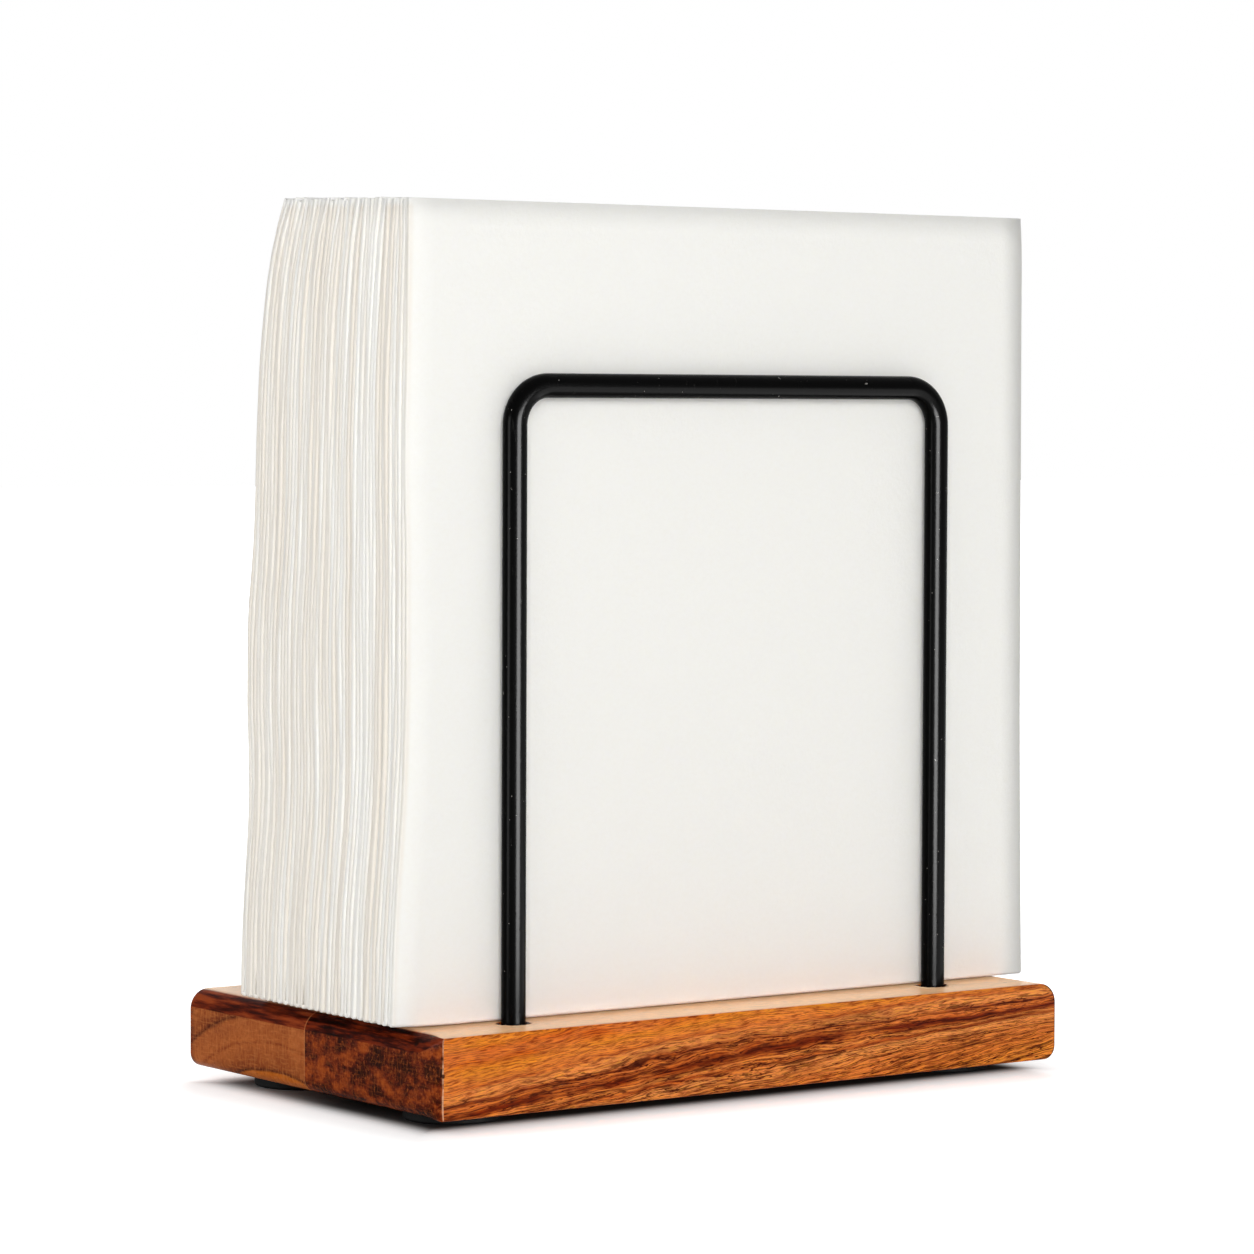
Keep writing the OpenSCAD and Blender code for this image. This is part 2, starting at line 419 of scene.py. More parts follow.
class NAPKINHOLDER_OT_board(bpy.types.Operator):
    """Make the two staves of the board, with rounded ends and blind holes for the hoops"""

    bl_idname = "napkinholder.make_board"
    bl_label = "Make board"
    bl_options = {"REGISTER", "UNDO"}

    def execute(self, context):
        sizes = context.scene.napkin_holder.board
        for name, hoop in (("front", "front_hoop"), ("rear", "rear_hoop")):
            node = name + "_stave"
            low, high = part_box(node)
            outer = low.y if name == "front" else high.y
            bm = round_stave(low, high, outer, sizes)
            if name == "front":
                shape_near_corner(bm, low, high, sizes)
            piece = link_mesh(bm, "acacia_" + node)
            places, wire_radius = leg_places(hoop)
            cut_holes(piece, places, sizes, wire_radius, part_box(hoop)[0].z, high.z)
            finish = front_wood(sizes) if name == "front" else rear_wood(sizes)
            settle(piece, finish, HOLDER, node)
        return {"FINISHED"}


# Hoops and feet


def bend_hoop(low, high, sizes):
    """A wire hoop: up one leg, round the bend, along the bar and down the other leg."""
    radius = (high.y - low.y) / 2
    left, right, y = low.x + radius, high.x - radius, (low.y + high.y) / 2
    bar, bend, tip = high.z - radius, sizes.bend_radius, sizes.leg_tip
    shoulder = bar - bend
    bm = bmesh.new()
    ring = bmesh.ops.create_circle(
        bm, cap_ends=False, radius=radius - tip / 2, segments=sizes.sides,
        matrix=Matrix.Translation((left, y, low.z)),
    )["verts"]
    edges = edges_of(ring)
    edges = grow(bm, edges, (0, 0, tip), radius / (radius - tip / 2))
    edges = grow(bm, edges, (0, 0, shoulder - low.z - tip))
    for centre in (left + bend, right - bend):
        if centre > left + bend:
            edges = grow(bm, edges, (right - left - 2 * bend, 0, 0))
        verts = list(dict.fromkeys(vert for edge in edges for vert in edge.verts))
        made = bmesh.ops.spin(
            bm, geom=verts + edges, cent=(centre, y, shoulder), axis=(0, 1, 0),
            angle=math.pi / 2, steps=sizes.bend_steps, use_duplicate=False,
        )["geom_last"]
        edges = [item for item in made if isinstance(item, bmesh.types.BMEdge)]
    edges = grow(bm, edges, (0, 0, low.z + tip - shoulder))
    grow(bm, edges, (0, 0, -tip), (radius - tip / 2) / radius)
    close(bm)
    return bm


class NAPKINHOLDER_OT_hoops(bpy.types.Operator):
    """Make the front and rear wire hoop"""

    bl_idname = "napkinholder.make_hoops"
    bl_label = "Make hoops"
    bl_options = {"REGISTER", "UNDO"}

    def execute(self, context):
        sizes = context.scene.napkin_holder.hoops
        finish = black_coat(sizes)
        for node in ("front_hoop", "rear_hoop"):
            piece = link_mesh(bend_hoop(*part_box(node), sizes), "wire_" + node, 20)
            settle(piece, finish, HOLDER, node)
        return {"FINISHED"}


class NAPKINHOLDER_OT_feet(bpy.types.Operator):
    """Make the four rubber feet"""

    bl_idname = "napkinholder.make_feet"
    bl_label = "Make feet"
    bl_options = {"REGISTER", "UNDO"}

    def execute(self, context):
        sizes = context.scene.napkin_holder.feet
        finish = foot_rubber(sizes)
        steps = 5
        for node in FEET:
            low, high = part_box(node)
            radius = (high.x - low.x) / 2
            edge = sizes.edge
            rings = []
            for k in range(steps + 1):
                turn = math.pi / 2 * k / steps
                rings.append((edge - edge * math.cos(turn), radius - edge + edge * math.sin(turn)))
            rings += [(high.z - sizes.top_edge, radius), (high.z, radius - sizes.top_edge)]
            bm = bmesh.new()
            stack_rings(bm, (low.x + high.x) / 2, (low.y + high.y) / 2, rings, sizes.sides)
            settle(link_mesh(bm, "rubber_" + node), finish, HOLDER, node)
        return {"FINISHED"}


# Napkins

# Where the left and right sides of the pack stand at heights above its foot, in millimetres
LEFT_SIDE = [
    (0, -81.5), (15, -81.0), (29, -80.1), (41, -79.2), (57, -78.4),
    (85, -78.3), (114, -78.5), (140, -78.1), (165, -77.5),
]
RIGHT_SIDE = [(0, 81.6), (20, 81.2), (60, 80.7), (110, 80.4), (165, 80.1)]


def napkin_limits(node):
    """Smooth lines for the front and the back of a napkin's solid, read from the frame."""
    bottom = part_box(node)[0].z
    thinnest, above_fold = 1.5 * MM, 1.0 * MM
    levels = {}
    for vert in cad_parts[node].data.vertices:
        height = round(vert.co.z, 5)
        front, back = levels.get(height, (1.0, -1.0))
        levels[height] = (min(front, vert.co.y), max(back, vert.co.y))
    kept = [
        (height, front, back) for height, (front, back) in sorted(levels.items())
        if back - front > thinnest and height > bottom + above_fold
    ]
    top = max(levels)
    if kept[-1][0] < top:
        half = (kept[-1][2] - kept[-1][1]) / 2
        kept.append((top, sum(levels[top]) / 2 - half, sum(levels[top]) / 2 + half))
    return (
        smooth_curve([(height, front) for height, front, back in kept]),
        smooth_curve([(height, back) for height, front, back in kept]),
    )


def stations(reach, arc, flat_cells, arc_cells):
    """Distances from a fold line at which a sheet has its mesh lines, close together in the fold."""
    flat = [arc / 2 + (reach - arc / 2) * k / flat_cells for k in range(1, flat_cells + 1)]
    fold = [arc * (k / arc_cells - 0.5) for k in range(arc_cells + 1)]
    return [-distance for distance in reversed(flat)] + fold + flat


class Leaf:
    """One leaf of a napkin: two plies that meet in a fold at the left side."""

    def __init__(self, chance, order, sizes):
        self.order = order
        self.tone = chance.random()
        self.left = chance.uniform(-1, 1) * sizes.ragged
        self.right = [chance.uniform(-1, 1) * sizes.uneven for ply in range(2)]
        self.drop = chance.random() ** 2 * sizes.top_step
        self.ply_drop = [0.0, chance.uniform(0.1, 0.5) * MM]


def fold_napkin(node, index, sizes, chance, left_side, right_side):
    """Folds a flat sheet twice: first along its left side, then along its foot."""
    low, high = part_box(node)
    front_line, back_line = napkin_limits(node)
    above_fold = low.z + 2 * MM
    thick = back_line(above_fold) - front_line(above_fold)
    ply_radius, leaf_radius = thick / 8, thick / 4
    fine = node in (NAPKINS[0], NAPKINS[-1])
    leaf_apart, edge_wave = 3.7, 22
    across_cells, up_cells = (28, 30) if fine else (9, 22)
    columns = stations(sizes.flat_width / 2, math.pi * ply_radius, across_cells, arc_cells=6)
    rows = stations(sizes.flat_length / 2, math.pi * leaf_radius, up_cells, arc_cells=8)
    wide, tall = len(columns) - 1, len(rows) - 1
    bm = bmesh.new()
    uv = bm.loops.layers.uv.verify()
    tone = bm.verts.layers.float.new("leaf_tone")
    bmesh.ops.create_grid(bm, x_segments=wide, y_segments=tall, size=0.5, calc_uvs=True)
    leaves = [Leaf(chance, 2 * index + k, sizes) for k in range(2)]
    half_a, half_b = math.pi * ply_radius / 2, math.pi * leaf_radius / 2
    centre = low.z + (leaf_radius + ply_radius) * sizes.foot_depth + sizes.ply / 2
    for face in bm.faces:
        for loop in face.loops:
            place = loop.vert.co
            loop[uv].uv = (
                columns[round((place.x + 0.5) * wide)] / sizes.flat_width + 0.5,
                rows[round((place.y + 0.5) * tall)] / sizes.flat_length + 0.5,
            )
    for vert in bm.verts:
        p = columns[round((vert.co.x + 0.5) * wide)]
        q = rows[round((vert.co.y + 0.5) * tall)]
        leaf = leaves[0 if q < 0 else 1]
        turn = min(max(p / ply_radius, -math.pi / 2), math.pi / 2)
        across = math.sin(turn)
        ply = 0 if across > 0 else 1
        flat = max(0.0, abs(p) - half_a) / (sizes.flat_width / 2 - half_a)
        if abs(q) <= half_b:
            bend = q / leaf_radius
            radial = leaf_radius + across * ply_radius
            middle = (front_line(centre) + back_line(centre)) / 2
            y, z = middle + radial * math.sin(bend), centre - radial * math.cos(bend) * sizes.foot_depth
            share = (math.sin(bend) + 1) / 2
        else:
            rise = (abs(q) - half_b) / (sizes.flat_length / 2 - half_b)
            top = high.z + sizes.rear_rise * index / len(NAPKINS)
            top -= leaf.drop + leaf.ply_drop[ply] * (1 if flat > 0 else 0.5)
            z = centre + (top - centre) * rise
            front, back = front_line(z), back_line(z)
            side = -1 if q < 0 else 1
            y = (front + back) / 2 + side * (back - front) * (2 + across) / 8
            share = 0.0 if q < 0 else 1.0
        height = (z - low.z) / MM
        y += sway(index + share, height, sizes)
        stand = leaves[0].left * (1 - share) + leaves[1].left * share
        stand += sizes.wander * noise.noise(Vector((leaf.order * leaf_apart, height / edge_wave, 0.5)))
        left = left_side(height) * MM - stand
        right = right_side(height) * MM + leaf.right[ply]
        bulge = ply_radius * sizes.pressed
        x = left + bulge * (1 - math.cos(turn)) + flat * (right - left - bulge)
        corner = max(0.0, 1 - (x - left) / sizes.corner_reach)
        corner *= max(0.0, 1 - (z - low.z) / sizes.corner_reach)
        z += sizes.corner_lift * (0.5 + 0.5 * index / len(NAPKINS)) * corner ** 2
        vert.co = (x, y, z)
        vert[tone] = leaf.tone
    bmesh.ops.recalc_face_normals(bm, faces=bm.faces)
    return bm


def sway(order, height, sizes):
    """How far the leaves lean to and fro together, none at the outside of the pack."""
    still_height, wave, leaf_shift = 20, 26, 0.22
    inside = math.sin(math.pi * min(max(order / len(NAPKINS), 0.0), 1.0))
    lift = min(1.0, height / still_height)
    return sizes.sway * inside * lift * noise.noise(Vector((height / wave, order * leaf_shift, 4.2)))


class NAPKINHOLDER_OT_napkins(bpy.types.Operator):
    """Fold the napkins and stand them in a pack"""

    bl_idname = "napkinholder.fold_napkins"
    bl_label = "Fold napkins"
    bl_options = {"REGISTER", "UNDO"}

    def execute(self, context):
        sizes = context.scene.napkin_holder.napkins
        finish = napkin_paper(sizes)
        left_side, right_side = smooth_curve(LEFT_SIDE), smooth_curve(RIGHT_SIDE)
        chance = random.Random(11)
        for index, node in enumerate(NAPKINS):
            bm = fold_napkin(node, index, sizes, chance, left_side, right_side)
            piece = link_mesh(bm, "paper_" + node, 80)
            body = piece.modifiers.new("ply", "SOLIDIFY")
            body.thickness, body.offset, body.use_even_offset = sizes.ply, 0.0, True
            settle(piece, finish, PACK, node)
        return {"FINISHED"}


# Materials


class Finish:
    """A material whose nodes are added one by one."""

    def __init__(self, name):
        self.material = bpy.data.materials.new(name)
        self.material.use_nodes = True
        self.tree = self.material.node_tree
        self.tree.nodes.clear()
        self.shader = self.add("ShaderNodeBsdfPrincipled")
        out = self.add("ShaderNodeOutputMaterial")
        self.tree.links.new(self.shader.outputs[0], out.inputs["Surface"])

    def add(self, kind, sockets=None, **settings):
        node = self.tree.nodes.new(kind)
        for name, value in settings.items():
            setattr(node, name, value)
        for name, value in (sockets or {}).items():
            self.set(node.inputs[name], value)
        return node

    def set(self, socket, value):
        if isinstance(value, bpy.types.NodeSocket):
            self.tree.links.new(value, socket)
        elif socket.type == "RGBA" and len(value) == 3:
            socket.default_value = (*value, 1.0)
        else:
            socket.default_value = value

    def put(self, **sockets):
        """Sets the shader's own sockets, named with underscores."""
        for name, value in sockets.items():
            self.set(self.shader.inputs[name.replace("_", " ")], value)

    def math(self, operation, first, second=0.0, third=0.0):
        node = self.add("ShaderNodeMath", operation=operation)
        for socket, value in zip(node.inputs, (first, second, third)):
            self.set(socket, value)
        return node.outputs[0]

    def times(self, first, second):
        return self.math("MULTIPLY", first, second)

    def minus(self, first, second):
        return self.math("SUBTRACT", first, second)

    def step(self, value, low, high):
        """A smooth step of a value from 0 at low to 1 at high."""
        return self.add(
            "ShaderNodeMapRange", {"Value": value, "From Min": low, "From Max": high},
            interpolation_type="SMOOTHSTEP",
        ).outputs[0]

    def pack(self, x, y, z):
        return self.add("ShaderNodeCombineXYZ", {0: x, 1: y, 2: z}).outputs[0]

    def stretch(self, vector, factors):
        """A place scaled apart in its three parts."""
        return self.add("ShaderNodeVectorMath", {0: vector, 1: factors}, operation="MULTIPLY").outputs[0]

    def parts(self, vector):
        return self.add("ShaderNodeSeparateXYZ", {0: vector}).outputs

    def scale(self, vector, factor):
        return self.add("ShaderNodeVectorMath", {0: vector, "Scale": factor}, operation="SCALE").outputs[0]

    def distance(self, vector, place):
        return self.add("ShaderNodeVectorMath", {0: vector, 1: place}, operation="DISTANCE").outputs[1]

    def noise(self, vector, scale, detail=2.0, roughness=0.5, distortion=0.0):
        return self.add("ShaderNodeTexNoise", {
            "Vector": vector, "Scale": scale, "Detail": detail, "Roughness": roughness,
            "Distortion": distortion,
        }).outputs[0]

    def drawn(self, vector, factors, detail=2.0, roughness=0.5, distortion=0.0):
        """Noise drawn out along the grain, by small factors along it and large ones across it."""
        return self.noise(self.stretch(vector, factors), 1.0, detail, roughness, distortion)

    def ramp(self, value, stops):
        node = self.add("ShaderNodeValToRGB", {0: value})
        marks = node.color_ramp.elements
        while len(marks) < len(stops):
            marks.new(0.5)
        for mark, (place, shade) in zip(marks, stops):
            mark.position, mark.color = place, (*shade, 1.0)
        return node.outputs[0]

    def mix(self, factor, first, second, kind="MIX"):
        return self.add(
            "ShaderNodeMix", {0: factor, 6: first, 7: second}, data_type="RGBA", blend_type=kind,
        ).outputs[2]

    def bump(self, height, strength, distance):
        normal = self.add("ShaderNodeBump", {"Height": height, "Strength": strength, "Distance": distance})
        self.put(Normal=normal.outputs[0])

    def millimetres(self):
        """The place on the object in millimetres."""
        return self.scale(self.add("ShaderNodeTexCoord").outputs["Object"], 1000.0)


def face_grain(f, place, level, bands, grain, dark):
    """Bands across a level, with fibres, smears, lines, threads and dashes drawn out along the grain."""
    first, last = bands[0][0], bands[-1][0]
    share = f.math("DIVIDE", f.minus(level, first), last - first)
    banded = f.ramp(share, [((at - first) / (last - first), tone) for at, tone in bands])

    heavy = f.step(level, *grain["heavy"])
    fibre = f.drawn(place, (0.32, 1.5, 3.6), 3.0, 0.6)
    smears = f.step(f.drawn(place, (0.05, 0.15, 0.42), 4.0, 0.6), 0.46, 0.66)
    lines = f.step(f.drawn(place, (0.024, 0.25, 0.95), 5.0, 0.62), 0.49, 0.58)
    dashes = f.step(f.drawn(place, (0.16, 0.8, 2.3), 3.0, 0.55, 0.3), 0.53, 0.61)
    thread = f.drawn(place, (0.07, 0.6, 1.0), 4.0, 0.55)
    threads = f.step(f.math("ABSOLUTE", f.minus(thread, 0.5)), 0.022, 0.006)
    patches = f.step(f.drawn(place, (0.045, 0.1, 0.2)), 0.46, 0.62)
    colour = f.mix(f.times(patches, grain["patchy"]), banded, bands[0][1])
    fibre_tone = f.ramp(f.step(fibre, 0.32, 0.68), [(0.0, (0.42, 0.31, 0.25)), (0.5, (1.0, 1.0, 1.0))])
    colour = f.mix(1.0, colour, fibre_tone, "MULTIPLY")
    light = f.times(f.step(fibre, 0.46, 0.64), 0.8)
    colour = f.mix(light, colour, linear(255, 226, 160), "SOFT_LIGHT")
    # Each pattern, how much stronger it is in heavy grain, its least strength and its tone
    layers = (
        (smears, 0.12, 0.12, linear(140, 50, 18)),
        (lines, 0.26, 0.18, linear(98, 32, 12)),
        (threads, 0.66, 0.30, linear(64, 18, 8)),
        (dashes, 0.64, 0.12, dark),
    )
    for pattern, more, least, tone in layers:
        weight = f.times(pattern, f.math("MULTIPLY_ADD", heavy, more, least))
        colour = f.mix(weight, colour, tone)
    return colour, banded, fibre, lines, dashes


def end_grain(f, place, banded, end, dark):
    """Blotches with some of the bands, light flecks, dark pores and fine crossed rays."""
    blotch = f.drawn(place, (0.2, 0.13, 0.2), 6.0, 0.66)
    colour = f.ramp(f.step(blotch, 0.36, 0.64), end["tones"])
    colour = f.mix(end["bands"], colour, banded)
    flecks = f.drawn(place, (0.4, 1.3, 1.1), 4.0, 0.68)
    layers = [
        (flecks, (0.52, 0.68), end["fleck"], end["light"]),
        (flecks, (0.50, 0.34), end["pores"], dark),
    ]
    for factors in ((0.4, 1.7, 0.3), (0.4, 0.25, 2.2)):
        layers.append((f.drawn(place, factors), (0.50, 0.66), end["rays"], end["light"]))
    for pattern, limits, weight, tone in layers:
        colour = f.mix(f.times(f.step(pattern, *limits), weight), colour, tone)
    return colour


def wood(name, board, level, bands, grain, end, knots):
    """Oiled acacia: face grain and end grain that meet at the round edges, a glue line, chips and knots."""
    low, high = board_box()
    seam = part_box("front_stave")[1].y / MM
    dark, knot_tone = tuple(board.dark_grain), linear(34, 9, 4)
    pale_top_and_sheen, glue_tone, fresh_chip = linear(255, 214, 172), linear(206, 140, 90), linear(236, 180, 140)
    f = Finish(name)
    place = f.millimetres()
    x, y, z = f.parts(place)
    facing = f.parts(f.add("ShaderNodeTexCoord").outputs["Normal"])
    endwards, top = f.math("ABSOLUTE", facing[0]), f.step(facing[2], 0.94, 0.99)

    drift = f.drawn(place, (0.014, 0.06, 0.09))
    ripple = f.drawn(place, (0.10, 0.25, 0.30), 1.0)
    warp = f.math("MULTIPLY_ADD", ripple, 2 * grain["ripple"], f.times(drift, 2 * grain["drift"]))
    height = f.math("ADD", level(f, x, y, z), f.minus(warp, grain["drift"] + grain["ripple"]))
    colour, banded, fibre, lines, dashes = face_grain(f, f.pack(x, y, height), height, bands, grain, dark)

    # The ends, with their round upper edges in darker end grain and painted shade, and painted shade along
    # the rear corners
    end_colour = end_grain(f, place, banded, end, dark)
    # The round-over at the top of each end: partly darker end grain, partly painted shade under the pack's
    # overhang
    rounded = f.step(facing[2], 0.05, 0.16)
    # Painted shade along the rounded rear vertical edge of each end, in the round-over colour
    worn = f.times(f.step(f.minus(high.y / MM, y), 2.6, 0.2), 0.75)
    turned = f.drawn(place, (0.7, 0.07, 0.7), 4.0, 0.62)
    round_grain_and_shade = f.ramp(f.step(turned, 0.34, 0.66), end["round"])
    end_colour = f.mix(f.math("MAXIMUM", rounded, worn), end_colour, round_grain_and_shade)
    colour = f.mix(f.step(endwards, 0.10, 0.34), colour, end_colour)
    # Partly the top's own paler tone, partly a painted sheen: the top faces are tinted pale
    colour = f.mix(f.times(top, 0.28), colour, pale_top_and_sheen)

    # The glue line, chips along the front left edge, and knots
    seam_gap = f.math("ABSOLUTE", f.minus(y, seam))
    glue = f.times(f.step(seam_gap, 0.3, 0.08), f.math("MULTIPLY_ADD", endwards, 0.1, 0.2))
    colour = f.mix(glue, colour, glue_tone)
    from_front = f.minus(y, low.y / MM)
    arris = f.times(f.step(from_front, 0.34, 0.12), f.step(facing[0], -0.15, -0.4))
    chips = f.step(f.drawn(place, (0.5, 0.5, 0.8), 3.0, 0.6), 0.22, 0.62)
    colour = f.mix(f.times(f.times(arris, chips), 0.8), colour, fresh_chip)
    spots = 0.0
    for spot, radius in knots:
        spots = f.math("MAXIMUM", spots, f.step(f.distance(place, spot), radius, radius * 0.5))
    colour = f.mix(f.times(spots, 0.92), colour, knot_tone)

    # The oil, which shines on the top at a low angle
    f.put(Base_Color=colour, Specular_IOR_Level=0.008)
    grazing = f.add("ShaderNodeLayerWeight", {"Blend": 0.5}).outputs["Facing"]
    skim = f.times(f.step(grazing, 0.66, 0.85), top)
    f.put(Coat_Weight=f.times(skim, 0.65), Coat_Roughness=0.1, Coat_IOR=1.5)
    f.put(Sheen_Weight=skim, Sheen_Roughness=0.3, Sheen_Tint=linear(255, 218, 172))
    pores = f.math("ADD", dashes, f.times(lines, 0.5))
    f.put(Roughness=f.math("MULTIPLY_ADD", pores, 0.10, 0.13))
    hollows = f.math("MULTIPLY_ADD", spots, 3.0, dashes)
    relief = f.minus(f.times(fibre, 0.8), hollows)
    f.bump(relief, 0.3, 0.00003)
    return f.material


def front_wood(board):
    """The front stave: its grain climbs to the right and to the back, with a dark streak through it."""
    low = board_box()[0]
    climb_right, climb_back, bend_start = 0.1, 0.16, 82.0
    bend_below, bend_above = 0.06, -0.065

    def level(f, x, y, z):
        along = f.minus(x, low.x / MM)
        height = f.minus(z, low.z / MM)
        beyond = f.math("MAXIMUM", f.minus(along, bend_start), 0.0)
        bend = f.math("MULTIPLY_ADD", f.step(height, 3.0, 13.0), bend_above - bend_below, bend_below)
        climb = f.math("ADD", f.times(along, climb_right), f.times(beyond, bend))
        back = f.times(f.minus(y, low.y / MM), climb_back)
        return f.minus(height, f.math("ADD", climb, back))

    main = tuple(board.front_wood)
    bands = [
        (-23.0, main), (-17.0, linear(236, 138, 58)), (-13.0, linear(224, 122, 54)), (-8.0, main),
        (-3.6, linear(238, 148, 82)), (-2.4, linear(170, 76, 34)), (-1.4, linear(232, 138, 70)),
        (-0.5, linear(200, 98, 42)), (0.1, linear(102, 35, 14)), (0.7, linear(116, 42, 17)),
        (1.3, linear(204, 102, 45)), (2.1, linear(220, 118, 57)),
        (2.6, linear(84, 28, 13)), (3.0, linear(200, 106, 56)), (3.5, linear(241, 145, 78)),
        (4.9, linear(241, 145, 78)), (5.6, linear(186, 92, 44)), (6.3, linear(230, 128, 58)),
        (8.4, linear(238, 138, 48)), (10.4, linear(208, 98, 34)), (12.4, linear(196, 82, 26)),
        (14.4, linear(234, 134, 46)), (17.5, linear(214, 110, 42)),
    ]
    grain = {"drift": 3.2, "ripple": 0.8, "heavy": (6.0, 2.6), "patchy": 0.6}
    end = {
        "bands": 0.0,
        "tones": [
            (0.0, linear(30, 7, 3)), (0.36, linear(66, 19, 8)),
            (0.68, linear(110, 40, 15)), (1.0, linear(156, 70, 25)),
        ],
        "light": linear(188, 96, 42),
        # The round-over colour: darker end grain, partly painted shade under the pack's overhang
        "round": [(0.0, linear(18, 3, 1)), (0.45, linear(58, 13, 4)), (1.0, linear(122, 42, 13))],
        "fleck": 0.5, "pores": 0.4, "rays": 0.14,
    }
    knots = [
        ((-79.3, -38.6, 17.5), 1.0), ((-79.7, -47.8, 15.4), 0.7), ((-79.3, -48.0, 11.9), 0.6),
        ((71.0, -41.5, 19.3), 0.6),
    ]
    return wood("oiled_acacia_front", board, level, bands, grain, end, knots)


def rear_wood(board):
    """The rear stave: growth rings about a heart below the board."""
    heart_y, heart_z, heart_climb, base_ring = 14.0, -48.3, 0.03, 56.5

    def level(f, x, y, z):
        across = f.minus(y, heart_y)
        up = f.minus(z, f.math("MULTIPLY_ADD", x, heart_climb, heart_z))
        radius = f.math("SQRT", f.math("MULTIPLY_ADD", across, across, f.times(up, up)))
        return f.minus(radius, base_ring)

    main = tuple(board.rear_wood)
    bands = [
        (-5.0, linear(184, 98, 28)), (-0.6, linear(196, 104, 24)), (-0.1, linear(56, 18, 7)),
        (0.6, linear(134, 64, 28)), (5.0, main), (5.6, linear(140, 66, 30)), (6.2, main),
        (10.6, linear(160, 84, 42)), (11.3, linear(70, 26, 12)), (12.0, linear(122, 56, 26)),
        (16.0, main), (16.6, linear(130, 60, 28)), (17.3, main), (24.0, linear(176, 92, 42)),
    ]
    grain = {"drift": 0.6, "ripple": 0.3, "heavy": (14.0, 30.0), "patchy": 0.15}
    end = {
        "bands": 0.84,
        "tones": [(0.0, linear(80, 28, 12)), (0.5, linear(150, 74, 33)), (1.0, linear(206, 122, 60))],
        "light": linear(200, 120, 64),
        # The round-over colour: darker end grain, partly painted shade under the pack's overhang
        "round": [(0.0, linear(52, 13, 6)), (0.5, linear(106, 36, 14)), (1.0, linear(148, 64, 28))],
        "fleck": 0.35, "pores": 0.24, "rays": 0.3,
    }
    knots = [((-70.5, 45.0, 19.3), 0.6)]
    return wood("oiled_acacia_rear", board, level, bands, grain, end, knots)


def black_coat(hoops):
    """Satin black powder coat with a fine skin, dust and a few light scuffs."""
    f = Finish("black_powder_coat")
    place = f.millimetres()
    skin = f.noise(place, 2.4, 2.0)
    dust = f.step(f.noise(place, 1.25, 1.0, 0.4), 0.77, 0.80)
    scuffs = f.step(f.noise(f.stretch(place, (1.0, 1.0, 0.25)), 0.9, 4.0, 0.7), 0.62, 0.74)
    colour = f.mix(f.times(scuffs, 0.4), tuple(hoops.coat), linear(36, 36, 34))
    f.put(Base_Color=f.mix(dust, colour, linear(120, 118, 114)), Specular_IOR_Level=0.025)
    f.put(Roughness=f.math("MULTIPLY_ADD", f.math("ADD", scuffs, skin), 0.08, 0.18))
    f.bump(skin, 0.15, 0.00005)
    return f.material


def foot_rubber(feet):
    """Matt black rubber, a little dusty."""
    f = Finish("black_rubber")
    place = f.millimetres()
    dust = f.step(f.noise(place, 0.8, 4.0, 0.7), 0.5, 0.8)
    f.put(Base_Color=f.mix(f.times(dust, 0.3), tuple(feet.rubber), linear(62, 60, 57)))
    f.put(Roughness=0.72, Specular_IOR_Level=0.05)
    f.bump(f.noise(place, 5.0, 3.0), 0.3, 0.00008)
    return f.material


def napkin_paper(napkins):
    """Soft white tissue: fine fibres, a faint quilting, leaves that differ a little in tone, and painted
    shade on the folds at the left side.
    """
    f = Finish("white_tissue")
    wide, tall = napkins.flat_width / MM, napkins.flat_length / MM
    sheet = f.add("ShaderNodeTexCoord").outputs["UV"]
    u, v = f.parts(sheet)[:2]
    flat = f.stretch(sheet, (wide, tall, 0.0))
    leaf = f.add("ShaderNodeAttribute", attribute_name="leaf_tone").outputs["Fac"]
    drift = f.drawn(f.millimetres(), (0.0, 0.3, 0.02))
    dull_and_shaded = f.step(f.math("ADD", f.times(leaf, 0.5), f.times(drift, 0.8)), 0.3, 0.9)
    # Duller tone and painted shade by the fold at the left side, more on some leaves than others, but not
    # at the open top edge
    for part, size, far, near in ((u, wide, 1.6, 0.5), (v, tall, 164.6, 163.0)):
        from_middle = f.math("ABSOLUTE", f.times(f.minus(part, 0.5), size))
        dull_and_shaded = f.times(dull_and_shaded, f.step(from_middle, far, near))
    fibres = f.noise(flat, 1.1, 5.0, 0.7, 0.4)
    mottle = f.noise(flat, 0.22, 2.0)
    colour = f.mix(dull_and_shaded, tuple(napkins.paper), tuple(napkins.shaded_paper))
    colour = f.mix(f.times(f.step(fibres, 0.62, 0.3), 0.12), colour, tuple(napkins.shaded_paper))
    f.put(Base_Color=colour, Roughness=0.95, Specular_IOR_Level=0.0)
    f.put(Subsurface_Weight=0.35, Subsurface_Radius=(1.0, 1.0, 0.9), Subsurface_Scale=0.0004)
    f.bump(f.math("ADD", fibres, f.times(mottle, 1.4)), 0.35, 0.00018)
    return f.material


# Stage


def white_for_camera(tree, dim):
    """One strength for light rays, and 1 for what camera, mirror and glass rays see."""
    path = tree.nodes.new("ShaderNodeLightPath")
    seen = path.outputs["Is Camera Ray"]
    for other in ("Is Glossy Ray", "Is Transmission Ray"):
        either = tree.nodes.new("ShaderNodeMath")
        either.operation = "MAXIMUM"
        tree.links.new(seen, either.inputs[0])
        tree.links.new(path.outputs[other], either.inputs[1])
        seen = either.outputs[0]
    strength = tree.nodes.new("ShaderNodeMapRange")
    tree.links.new(seen, strength.inputs["Value"])
    strength.inputs["To Min"].default_value = dim
    return strength.outputs[0]


